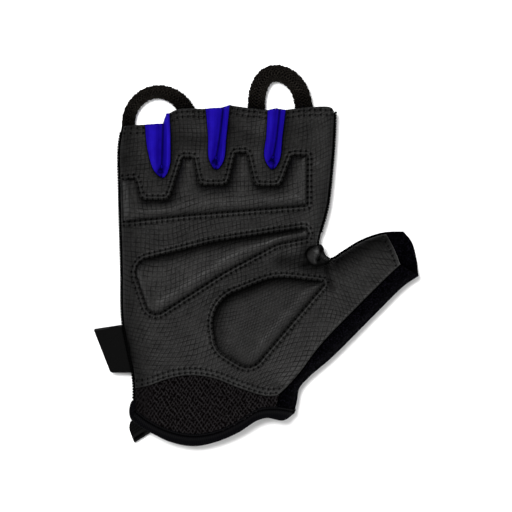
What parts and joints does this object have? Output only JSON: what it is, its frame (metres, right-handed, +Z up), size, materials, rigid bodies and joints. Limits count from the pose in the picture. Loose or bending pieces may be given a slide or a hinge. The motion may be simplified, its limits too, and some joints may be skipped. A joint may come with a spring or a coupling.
{
  "type": "fingerless sport glove",
  "caption": "Fingerless right-hand sport glove lying palm up, with padded leather palm, stretch finger gussets, terry thumb, finger pull loops, net wrist insert and bound wrist edge.",
  "frame": {"origin": "centre of the bounding box at the surface that the glove lies on", "axes": "+Z up out of the palm, +Y from the wrist towards the finger hems, +X towards the thumb"},
  "size_m": [0.1511, 0.1768, 0.0235],
  "materials": {
    "palm_leather": "embossed scale grain, satin",
    "pad_leather": "embossed scale grain over padding, satin",
    "thumb_pad_leather": "fine grain over padding, satin",
    "blue_stretch": "smooth stretch knit",
    "terry": "short brushed pile",
    "back_knit": "fine ribbed stretch knit",
    "wrist_net": "coarse warp-knit net",
    "binding_twill": "twill tape",
    "webbing": "ribbed webbing",
    "braid": "flat braid",
    "label_weave": "woven satin, plain"
  },
  "bodies": {
    "root": {"palm_leather": "palm_leather", "knuckle_pad": "pad_leather", "palm_pad": "pad_leather", "thumb_pad": "thumb_pad_leather", "finger_gusset_1": "blue_stretch", "finger_gusset_2": "blue_stretch", "finger_gusset_3": "blue_stretch", "thumb_terry": "terry", "back_panel": "back_knit", "wrist_net": "wrist_net", "wrist_binding": "binding_twill", "wrist_strap": "webbing", "pull_loop_1": "braid", "pull_loop_2": "braid", "side_label": "label_weave", "wrist_tab": "webbing"}
  },
  "joints": []
}
